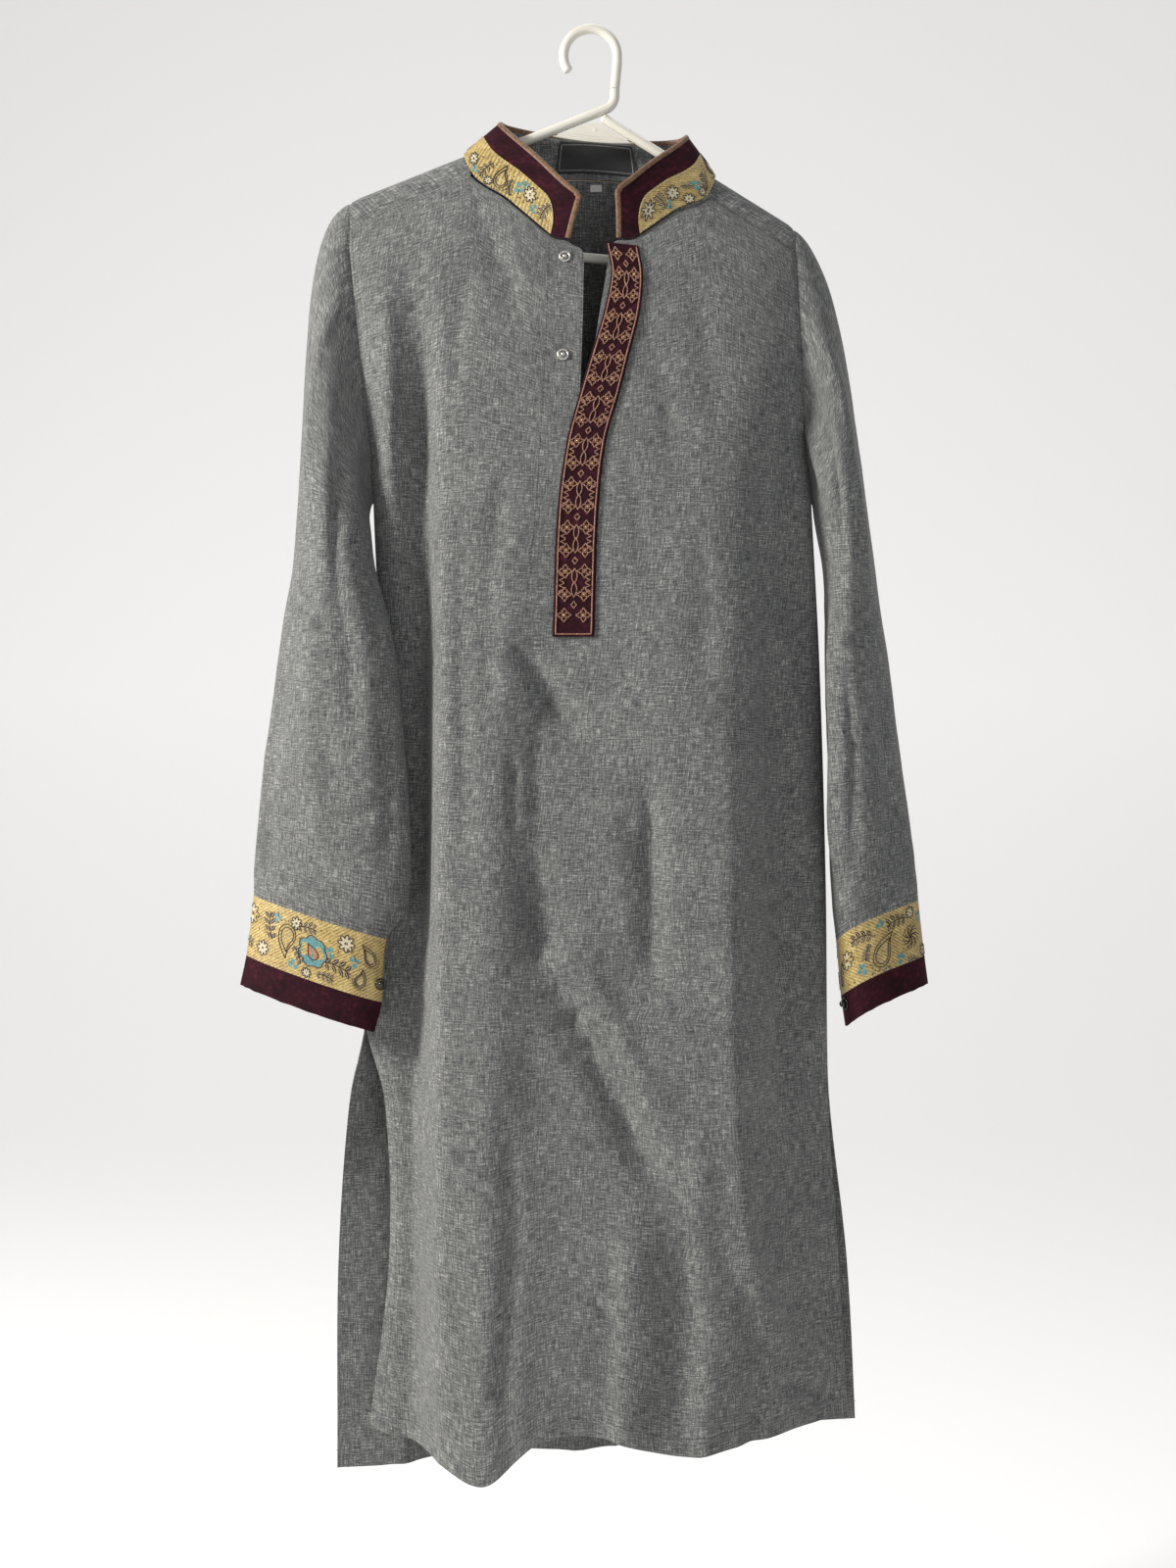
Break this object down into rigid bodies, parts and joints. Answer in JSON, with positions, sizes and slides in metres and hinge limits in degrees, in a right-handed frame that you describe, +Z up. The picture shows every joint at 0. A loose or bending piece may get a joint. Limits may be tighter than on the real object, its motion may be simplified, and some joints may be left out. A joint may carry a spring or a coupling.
{
  "type": "thobe robe on a tube hanger",
  "caption": "Knee-length long-sleeved tunic robe with a stand collar, open neck slit and trimmed cuffs, hanging on a bent tube hanger.",
  "frame": {"origin": "inner top of the hanger's hook, where a rail carries it", "axes": "+Z up, -Y towards the viewer of the garment's front, +X towards the viewer's right"},
  "size_m": [0.5632, 0.1356, 1.1922],
  "materials": {
    "cloth": "grey melange linen-look weave",
    "velvet": "dark maroon velvet",
    "embroidered_velvet": "dark maroon velvet with bronze cord embroidery",
    "brocade": "gold brocade with paisley and flower motifs",
    "piping": "brown corded piping",
    "plastic": "off-white moulded plastic",
    "label": "black woven, bare",
    "tab": "pale woven, bare",
    "silver": "nickel-plated press snap",
    "bead": "black glass-look bead and cord"
  },
  "bodies": {
    "root": {"front": "cloth", "back": "cloth", "yoke": "cloth", "sleeve_left": "cloth", "sleeve_left_middle": "cloth", "sleeve_left_lower": "cloth", "sleeve_right": "cloth", "cuff_brocade_left": "brocade", "cuff_brocade_right": "brocade", "cuff_velvet_left": "velvet", "cuff_velvet_right": "velvet", "cuff_button_left": "bead", "cuff_button_right": "bead", "cuff_loop_left": "bead", "cuff_loop_right": "bead", "collar_stand": "cloth", "collar_velvet": "velvet", "collar_brocade": "brocade", "collar_piping": "piping", "placket": "embroidered_velvet", "snap_upper": "silver", "snap_lower": "silver", "neck_label": "label", "size_tab": "tab", "hanger_frame": "plastic", "hanger_hook": "plastic", "hanger_web": "plastic"}
  },
  "joints": []
}
